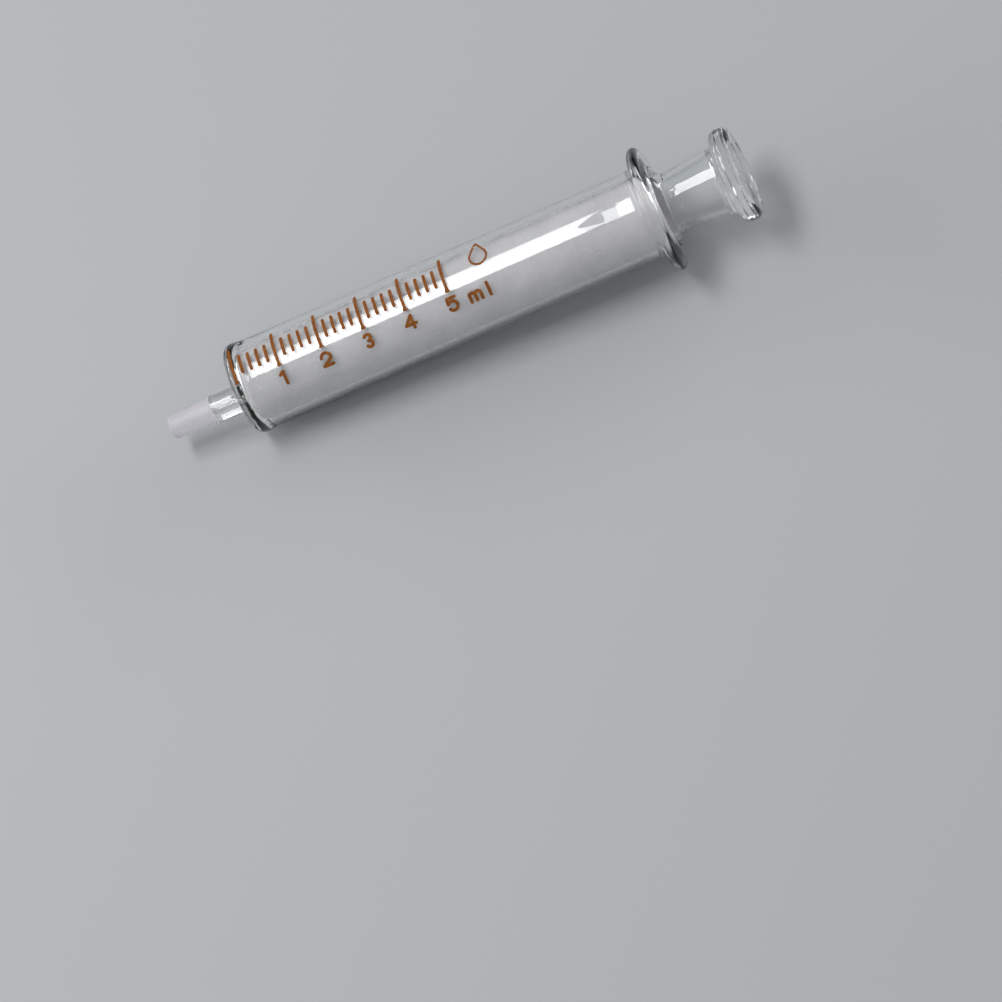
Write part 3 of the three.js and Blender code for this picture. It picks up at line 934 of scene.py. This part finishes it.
class SYRINGE_OT_stem(bpy.types.Operator):
    """Makes the clear stem and the pressed thumb button, one piece of glass"""

    bl_idname = "syringe.stem"
    bl_label = "Stem and Button"

    def execute(self, context):
        size = sizes("plunger")
        start = PISTON_SEAM + sizes("barrel").film / 2
        waist = MOUTH.x + size.shoulder
        under = BUTTON["first"]
        top = BUTTON["last"]
        outer = PISTON["outer"]
        narrow = size.waist
        wide = narrow + size.widen
        edge = BUTTON["outer"]
        corner = size.button_round
        fillet = size.button_fillet
        sunk = top - size.sink
        slope = edge - corner - size.rim

        outline = eased((outer, start), (narrow, waist))
        outline += arc(wide + fillet, under - fillet, fillet, 180, 90)
        outline += arc(edge - corner, under + corner, corner, -90, 0)
        outline += arc(edge - corner, top - corner, corner, 0, 90)
        outline += dipped((edge - corner, top), (slope, sunk))
        for step in range(1, size.face_steps + 1):
            part = step / size.face_steps
            height = size.ripple * math.sin(size.rings * math.pi * part) ** 2
            outline.append((slope * (1 - part), sunk + height, 0))
        outline += [(0, under - fillet, 0)]
        outline += arc(wide - size.stem_wall - fillet, under - 2 * fillet, fillet, 90, 0)
        outline += reversed(eased((outer - size.wall, start), (narrow - size.stem_wall, waist)))
        piece = turned("stem_glass", outline, False, (0, 0, 0), finish_named("flame_worked_glass"))
        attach(piece, "plunger")
        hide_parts("plunger_neck", "thumb_button")
        return {"FINISHED"}


class SYRINGE_OT_scale(bpy.types.Operator):
    """Makes the fired lines of the scale"""

    bl_idname = "syringe.scale"
    bl_label = "Scale Lines"

    def execute(self, context):
        size = sizes("enamel")
        values = {
            "Lines": LINES,
            "Lines in a Number": (LINES - 1) // NUMERALS,
            "Pitch": (LAST_LINE["station"] - FIRST_LINE["station"]) / (LINES - 1),
            "Width": size.line,
            "Narrowest": size.narrowest,
            "Dot": size.dot,
            "Dot Swell": size.dot_swell,
            "Inner": TUBE["outer"] - size.depth,
            "Outer": TUBE["outer"] + size.thickness,
            "Swell": BASE["outer"] - TUBE["outer"],
            "Swell Length": sizes("barrel").swell,
            "Long From": LAST_LINE["from"],
            "Long To": LAST_LINE["to"],
            "Short From": SHORT_LINE["from"],
            "Short To": SHORT_LINE["to"],
            "Material": finish_named("fired_enamel"),
        }
        piece = grown("enamel_scale", bpy.data.meshes.new("enamel_scale"), scale_tree(), values)
        place(piece)
        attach(piece, "barrel")
        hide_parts(*[name for name in frame["nodes"] if name.startswith("mark_")])
        return {"FINISHED"}


# ---------------------------------------------------------------- figures


def circle(x, y, radius, start, end, steps=CAP_STEPS):
    """Points on a circle round (x, y), from one angle to another, in radians."""
    turns = [start + (end - start) * step / steps for step in range(steps + 1)]
    return [(x + radius * math.cos(turn), y + radius * math.sin(turn)) for turn in turns]


def bar(x0, y0, x1, y1, width):
    """Outline of a straight stroke with round ends."""
    side = math.atan2(y1 - y0, x1 - x0) - math.pi / 2
    first_end = circle(x1, y1, width / 2, side, side + math.pi)
    return first_end + circle(x0, y0, width / 2, side + math.pi, side + 2 * math.pi)


def bow(x, y, radius, start, end, width):
    """Outline of a stroke along a circle, with round ends. Angles in degrees, anticlockwise."""
    half = width / 2
    start, end = math.radians(start), math.radians(end)
    last = (x + radius * math.cos(end), y + radius * math.sin(end))
    first = (x + radius * math.cos(start), y + radius * math.sin(start))
    points = circle(x, y, radius + half, start, end, BOW_STEPS)
    points += circle(*last, half, end, end + math.pi)[1:-1]
    points += circle(x, y, radius - half, end, start, BOW_STEPS)
    return points + circle(*first, half, start + math.pi, start + 2 * math.pi)[1:-1]


def figure_strokes(character):
    """Strokes of a figure, drawn upright round their own middle on a grid of 27 units to the
    height. The turns of the bows are in degrees."""
    size = sizes("enamel")
    pen = size.stroke
    unit = size.figure_height / 27
    top = (size.figure_height - pen) / 2
    bowl = top / 2
    side = 8.1 * unit
    lean = math.radians(20)
    crossbar = -0.35 * top
    strokes = {
        "1": [bar(unit, -top, unit, top, pen), bar(unit, top, -5 * unit, top - 4.5 * unit, pen)],
        "2": [
            bow(0, top - side, side, -20, 170, pen),
            bar(side * math.cos(lean), top - side - side * math.sin(lean), -side, -top, pen),
            bar(-side, -top, side, -top, pen),
        ],
        "3": [bow(0, bowl, bowl, -90, 150, pen), bow(0, -bowl, bowl, -150, 90, pen)],
        "4": [
            bar(3.5 * unit, -top, 3.5 * unit, top, pen),
            bar(3.5 * unit, top, -side - unit, crossbar, pen),
            bar(-side - unit, crossbar, side + 0.5 * unit, crossbar, pen),
        ],
        "5": [
            bar(side - unit, top, -side + 1.5 * unit, top, pen),
            bar(-side + 1.5 * unit, top, -side + 0.5 * unit, 1.5 * unit, pen),
            bow(-0.5 * unit, -top + side - 0.5 * unit, side - 0.2 * unit, -150, 140, pen),
        ],
        "m": [
            bar(-10 * unit, -top, -10 * unit, 3 * unit, pen),
            bar(0, -top, 0, -unit, pen),
            bar(10 * unit, -top, 10 * unit, -unit, pen),
            bow(-5 * unit, -unit, 5 * unit, 0, 180, pen),
            bow(5 * unit, -unit, 5 * unit, 0, 180, pen),
        ],
        "l": [bar(0, -top, 0, top, pen)],
    }
    return strokes[character]


def drop_strokes():
    """A drop: a round belly, and two sides that meet in a point above it."""
    size = sizes("enamel")
    pen = size.symbol_stroke
    lean = 24
    belly = (size.symbol_width - pen) / 2
    centre = (size.symbol_width - size.symbol_length) / 2
    tip = (size.symbol_length - pen) / 2
    edge_x = belly * math.cos(math.radians(lean))
    edge_y = centre + belly * math.sin(math.radians(lean))
    return [
        bow(0, centre, belly, 180 - lean, 360 + lean, pen),
        bar(edge_x, edge_y, 0, tip, pen),
        bar(0, tip, -edge_x, edge_y, pen),
    ]


def figure_plate(name, strokes):
    """A flat plate of enamel in the shape of the strokes run together. It is cut across at short
    steps of its height, so that it can bend."""
    size = sizes("enamel")
    points = []
    faces = []
    for stroke in strokes:
        faces.append(list(range(len(points), len(points) + len(stroke))))
        points += [Vector(corner) for corner in stroke]
    left = min(corner.x for corner in points) - size.overcut
    right = max(corner.x for corner in points) + size.overcut
    bottom = min(corner.y for corner in points)
    top = max(corner.y for corner in points)
    cuts = []
    for step in range(1, int((top - bottom) / size.bend_step)):
        height = bottom + step * size.bend_step
        cuts.append((len(points), len(points) + 1))
        points += [Vector((left, height)), Vector((right, height))]
    points, _, parts, _, _, owners = mathutils.geometry.delaunay_2d_cdt(
        points, cuts, faces, 1, size.stroke / 1000, True
    )
    kept = [part for part, owner in zip(parts, owners) if owner]

    work = bmesh.new()
    upper = [work.verts.new((x, y, size.thickness)) for x, y in points]
    lower = [work.verts.new((x, y, -size.depth)) for x, y in points]
    edges = {}
    for part in kept:
        work.faces.new([upper[at] for at in part])
        work.faces.new([lower[at] for at in reversed(part)])
        for at, after in zip(part, part[1:] + part[:1]):
            edges[at, after] = True
    for at, after in edges:
        if (after, at) not in edges:
            work.faces.new((upper[after], upper[at], lower[at], lower[after]))
    bmesh.ops.delete(work, geom=[v for v in work.verts if not v.link_faces], context="VERTS")
    mesh = bpy.data.meshes.new(name)
    work.to_mesh(mesh)
    work.free()
    return mesh


def bend_round_barrel(mesh, station, turn):
    """Bends a flat figure round the barrel: its height runs round, its thickness points out."""
    for vertex in mesh.vertices:
        along, climb, out = vertex.co
        angle_here = climb / TUBE["outer"] - turn
        radius = TUBE["outer"] + out
        vertex.co = (station + along, radius * math.sin(angle_here), radius * math.cos(angle_here))


class SYRINGE_OT_figures(bpy.types.Operator):
    """Makes the fired numerals, the unit and the drop"""

    bl_idname = "syringe.figures"
    bl_label = "Figures"

    def execute(self, context):
        size = sizes("enamel")
        millilitre = (LAST_LINE["station"] - FIRST_LINE["station"]) / NUMERALS
        jobs = [
            (f"numeral_{number}", figure_strokes(str(number)), number * millilitre, size.figure_turn)
            for number in range(1, NUMERALS + 1)
        ]
        for node, strokes, placed, turn in (
            ("unit_m", figure_strokes("m"), UNIT_M, size.figure_turn),
            ("unit_l", figure_strokes("l"), UNIT_L, size.figure_turn),
            ("symbol_drop", drop_strokes(), SYMBOL, size.symbol_turn),
        ):
            jobs.append((node, strokes, placed["station"], turn))
        for node, strokes, station, turn in jobs:
            name = f"enamel_{node}"
            mesh = figure_plate(name, strokes)
            bend_round_barrel(mesh, station, turn)
            mesh.materials.append(finish_named("fired_enamel"))
            piece = bpy.data.objects.new(name, mesh)
            context.scene.collection.objects.link(piece)
            place(piece)
            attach(piece, "barrel")
            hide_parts(node)
        return {"FINISHED"}


# ---------------------------------------------------------------- stage


def looking(back, side):
    """The turn of a thing whose back and right side point these ways."""
    return Matrix((side, back.cross(side), back)).transposed()


def area_light(name, where, facing, width, height, brightness):
    """A soft box. Its brightness is that of its face, as a multiple of white."""
    light = bpy.data.lights.new(name, "AREA")
    light.shape = "RECTANGLE"
    light.size = width
    light.size_y = height
    light.energy = brightness * math.pi * width * height
    lamp = bpy.data.objects.new(name, light)
    lamp.matrix_world = Matrix.Translation(where) @ facing.to_4x4()
    bpy.context.scene.collection.objects.link(lamp)


def make_bench(size):
    """A flat bench under the syringe."""
    half = size.bench / 2
    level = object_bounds()[0].z
    mesh = bpy.data.meshes.new("bench")
    mesh.from_pydata(
        [(x * half, y * half, level) for x, y in ((-1, -1), (1, -1), (1, 1), (-1, 1))],
        [], [(0, 1, 2, 3)],
    )
    mesh.materials.append(finish_named("matt_laminate"))
    bench = bpy.data.objects.new("bench", mesh)
    bpy.context.scene.collection.objects.link(bench)
    bench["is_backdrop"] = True


def light_barrel(size):
    """A soft box over the barrel. Its mirror image is the bright band along the tube, so its ends
    and its edges are set by where that band ends."""
    foot = Vector((size.key_end - size.key_width / 2, 0, 0))
    lean = Vector((0, math.sin(size.key_lean), math.cos(size.key_lean)))
    back = (PLACE.to_3x3() @ lean).normalized()
    side = PLACE.to_3x3() @ Vector((1, 0, 0))
    across = 2 * size.key_reach * math.tan(size.key_spread / 2)
    where = PLACE @ (foot + size.key_reach * lean)
    area_light("key", where, looking(back, side), size.key_width, across, size.key_glow)


def light_ends(size):
    """A strip light beyond either end of the syringe. They edge the flange, the button and the
    floor of the barrel with light."""
    middle = PLACE @ Vector((TUBE["station"], 0, 0))
    for name, spot, brightness in (
        ("strip_button", size.button_strip, size.button_glow),
        ("strip_nozzle", size.nozzle_strip, size.nozzle_glow),
    ):
        back = (Vector(spot) - middle).normalized()
        side = Vector((0, 0, 1)).cross(back).normalized()
        area_light(name, spot, looking(back, side), size.strip_width, size.strip_height, brightness)


def make_studio(size):
    """The room: pale at the height of the bench, black cards above that, then the ceiling, and a
    bright wall in front of the syringe."""
    tint = sizes("finishes")
    world = bpy.data.worlds.new("studio")
    world.use_nodes = True
    tree = world.node_tree
    tree.nodes.clear()
    coordinates = add(tree, "ShaderNodeTexCoord")
    towards = add(tree, "ShaderNodeSeparateXYZ", {0: coordinates.outputs["Generated"]}).outputs
    walls = layered(tree, tint.horizon, (
        (towards["Z"], size.flag_rise, tint.flags),
        (towards["Z"], size.ceiling_rise, tint.ceiling),
        (towards["Y"], size.front_turn, tint.front),
    ), interpolation_type="SMOOTHSTEP")
    air = add(tree, "ShaderNodeBackground", {"Color": walls, "Strength": 1.0})
    add(tree, "ShaderNodeOutputWorld", {"Surface": air})
    bpy.context.scene.world = world


def make_camera(size):
    """The camera, above and in front of the syringe, which lies aslant in its view."""
    around = Vector((
        math.sin(size.azimuth) * math.cos(size.elevation),
        -math.cos(size.azimuth) * math.cos(size.elevation),
        math.sin(size.elevation),
    ))
    subject = PLACE @ Vector(((CONE["first"] + BUTTON["last"]) / 2, 0, 0))
    level = around.to_track_quat("Z", "Y").to_matrix() @ Matrix.Rotation(size.roll, 3, "Z")
    eye = subject + around * size.distance
    aim = subject + level @ Vector((size.aim_right, size.aim_up, 0))
    sight = (eye - aim).normalized()
    right = level @ Vector((1, 0, 0))
    right = (right - sight * right.dot(sight)).normalized()
    camera = bpy.data.objects.new("camera", bpy.data.cameras.new("camera"))
    camera.data.lens = size.lens
    camera.data.clip_start = size.near
    camera.data.clip_end = size.far
    camera.matrix_world = Matrix.Translation(eye) @ looking(sight, right).to_4x4()
    bpy.context.scene.collection.objects.link(camera)
    bpy.context.scene.camera = camera


class SYRINGE_OT_stage(bpy.types.Operator):
    """Makes the bench, the studio light and the camera"""

    bl_idname = "syringe.stage"
    bl_label = "Stage"

    def execute(self, context):
        size = sizes("stage")
        make_bench(size)
        light_barrel(size)
        light_ends(size)
        make_studio(size)
        make_camera(size)
        context.scene.view_settings.view_transform = "Standard"
        return {"FINISHED"}


# ---------------------------------------------------------------- panel and start


OPERATORS = (
    SYRINGE_OT_barrel,
    SYRINGE_OT_nozzle,
    SYRINGE_OT_piston,
    SYRINGE_OT_stem,
    SYRINGE_OT_scale,
    SYRINGE_OT_figures,
    SYRINGE_OT_stage,
)
GROUPS = {
    "barrel": BarrelSizes,
    "plunger": PlungerSizes,
    "enamel": EnamelSizes,
    "finishes": Finishes,
    "textures": Textures,
    "stage": StageSizes,
}


class SYRINGE_PT_panel(bpy.types.Panel):
    """Lists the makers of the syringe's pieces"""

    bl_idname = "SYRINGE_PT_panel"
    bl_label = "Glass Syringe"
    bl_space_type = "VIEW_3D"
    bl_region_type = "UI"
    bl_category = "Glass Syringe"

    def draw(self, context):
        for maker in OPERATORS:
            self.layout.operator(maker.bl_idname)


def register():
    for group in GROUPS.values():
        bpy.utils.register_class(group)
    for name, group in GROUPS.items():
        setattr(bpy.types.Scene, f"syringe_{name}", bpy.props.PointerProperty(type=group))
    for maker in OPERATORS:
        bpy.utils.register_class(maker)
    bpy.utils.register_class(SYRINGE_PT_panel)


def unregister():
    bpy.utils.unregister_class(SYRINGE_PT_panel)
    for maker in reversed(OPERATORS):
        bpy.utils.unregister_class(maker)
    for name, group in GROUPS.items():
        delattr(bpy.types.Scene, f"syringe_{name}")
        bpy.utils.unregister_class(group)


def main():
    register()
    bpy.ops.syringe.barrel()
    bpy.ops.syringe.nozzle()
    bpy.ops.syringe.piston()
    bpy.ops.syringe.stem()
    bpy.ops.syringe.scale()
    bpy.ops.syringe.figures()
    bpy.ops.syringe.stage()


if __name__ == "__main__":
    main()
